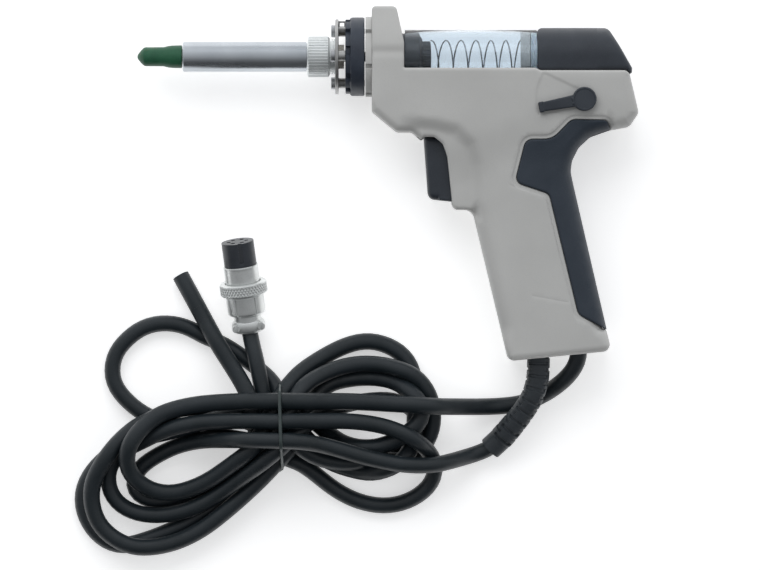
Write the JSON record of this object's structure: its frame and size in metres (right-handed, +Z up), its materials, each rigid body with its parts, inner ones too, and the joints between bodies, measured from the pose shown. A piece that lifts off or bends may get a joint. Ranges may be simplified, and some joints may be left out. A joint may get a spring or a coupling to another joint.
{
  "type": "desoldering gun",
  "caption": "Pistol-shaped vacuum desoldering gun with glass solder tube, trigger and release lever, lying on its side with its power lead and vacuum hose tied in a hank.",
  "frame": {"origin": "middle of the gun's own box, on the surface that it lies on", "axes": "+X from the nozzle to the rear of the gun, +Y to the top of the gun, +Z up from the surface, out of the gun's left side"},
  "size_m": [0.2271, 0.2213, 0.037],
  "materials": {
    "green_silicone": "soft satin silicone",
    "polished_steel": "polished along its length",
    "plain_steel": "satin",
    "plated_steel": "dull nickel plate",
    "screw_steel": "bright zinc",
    "spring_steel": "drawn wire",
    "ceramic": "unglazed",
    "insulator_black": "satin",
    "housing_grey": "fine moulded texture, pale warm grey",
    "grip_rubber": "soft matte",
    "black_plastic": "satin",
    "switch_button": "satin",
    "tube_glass": "clear",
    "filter_white": "felted",
    "seal_silicone": "translucent",
    "cord_jacket": "soft satin",
    "hose_rubber": "soft satin",
    "relief_rubber": "moulded",
    "tie_plastic": "plastic-coated wire",
    "plug_black": "moulded",
    "plug_contact": "plated",
    "plug_nickel": "bright nickel plate"
  },
  "bodies": {
    "gun": {"heater_sleeve": "polished_steel", "nozzle": "plain_steel", "suction_pipe": "plain_steel", "standoff_1": "plain_steel", "standoff_2": "plain_steel", "standoff_3": "plain_steel", "trigger_pin": "plain_steel", "earth_clip": "plain_steel", "heater_collar": "plated_steel", "mount_disc": "plated_steel", "flange_screw_1": "screw_steel", "flange_screw_2": "screw_steel", "flange_screw_3": "screw_steel", "housing_screw_1": "screw_steel", "housing_screw_2": "screw_steel", "housing_screw_3": "screw_steel", "housing_screw_4": "screw_steel", "housing_screw_5": "screw_steel", "tube_spring": "spring_steel", "trigger_spring": "spring_steel", "heater_core": "ceramic", "insulator_ring": "insulator_black", "housing_left": "housing_grey", "housing_right": "housing_grey", "front_plate": "housing_grey", "grip_pad_left": "grip_rubber", "grip_pad_right": "grip_rubber", "front_holder": "black_plastic", "microswitch": "black_plastic", "glass_tube": "tube_glass", "rear_filter": "filter_white", "inner_lead": "cord_jacket", "power_lead_gun": "cord_jacket", "power_lead_plug": "cord_jacket", "cord_hank": "cord_jacket", "inner_hose": "hose_rubber", "vacuum_hose_gun": "hose_rubber", "vacuum_hose_tail": "hose_rubber", "hose_end": "hose_rubber", "strain_relief": "relief_rubber", "hank_tie": "tie_plastic", "plug_insert": "plug_black", "plug_contacts": "plug_contact", "plug_sleeve": "plug_nickel", "plug_shell": "plug_nickel", "cable_clamp": "plug_nickel", "clamp_screw_1": "plug_nickel", "clamp_screw_2": "plug_nickel"},
    "tip_cap": {"tip_cap": "green_silicone"},
    "knurled_nut": {"knurled_nut": "plated_steel"},
    "trigger": {"trigger": "black_plastic"},
    "switch_plunger": {"switch_plunger": "switch_button"},
    "release_lever": {"release_lever": "black_plastic", "lever_cam": "black_plastic"},
    "rear_cap": {"rear_cap": "black_plastic", "rear_seal": "seal_silicone"},
    "ring_clip": {"ring_clip": "spring_steel"},
    "coupling_ring": {"coupling_ring": "plug_nickel"}
  },
  "joints": [
    {"name": "tip_cap_pull", "type": "slide", "parent": "gun", "child": "tip_cap", "axis": [-1, 0, 0], "range_m": [0, 0.03]},
    {"name": "nut_spin", "type": "hinge", "parent": "gun", "child": "knurled_nut", "pos_m": [-0.0272, 0.0508, 0.017], "axis": [1, 0, 0], "continuous": true},
    {"name": "trigger_pull", "type": "hinge", "parent": "gun", "child": "trigger", "pos_m": [0.027, 0.02, 0.017], "axis": [0, 0, 1], "range_deg": [0, 7], "stiffness_Nm_per_rad": 0.5, "springref_deg": -6.88},
    {"name": "plunger_slide", "type": "slide", "parent": "gun", "child": "switch_plunger", "axis": [1, 0, 0], "range_m": [0, 0.0022]},
    {"name": "lever_turn", "type": "hinge", "parent": "gun", "child": "release_lever", "pos_m": [0.0786, 0.0334, 0.034], "axis": [0, 0, 1], "range_deg": [-36, 0]},
    {"name": "cap_slide", "type": "slide", "parent": "gun", "child": "rear_cap", "axis": [1, 0, 0], "range_m": [0, 0.004]},
    {"name": "ring_slide", "type": "slide", "parent": "gun", "child": "ring_clip", "axis": [-0.126, 0.97, 0.2079], "range_m": [0, 0.008]},
    {"name": "ring_spin", "type": "hinge", "parent": "ring_clip", "child": "coupling_ring", "pos_m": [-0.05731, -0.04155, 0.00991], "axis": [-0.126, 0.97, 0.2079], "continuous": true}
  ],
  "couplings": [
    {"joint": "plunger_slide", "follows": "trigger_pull", "m_per_rad": 0.018},
    {"joint": "lever_turn", "follows": "cap_slide", "rad_per_m": -157.08}
  ]
}
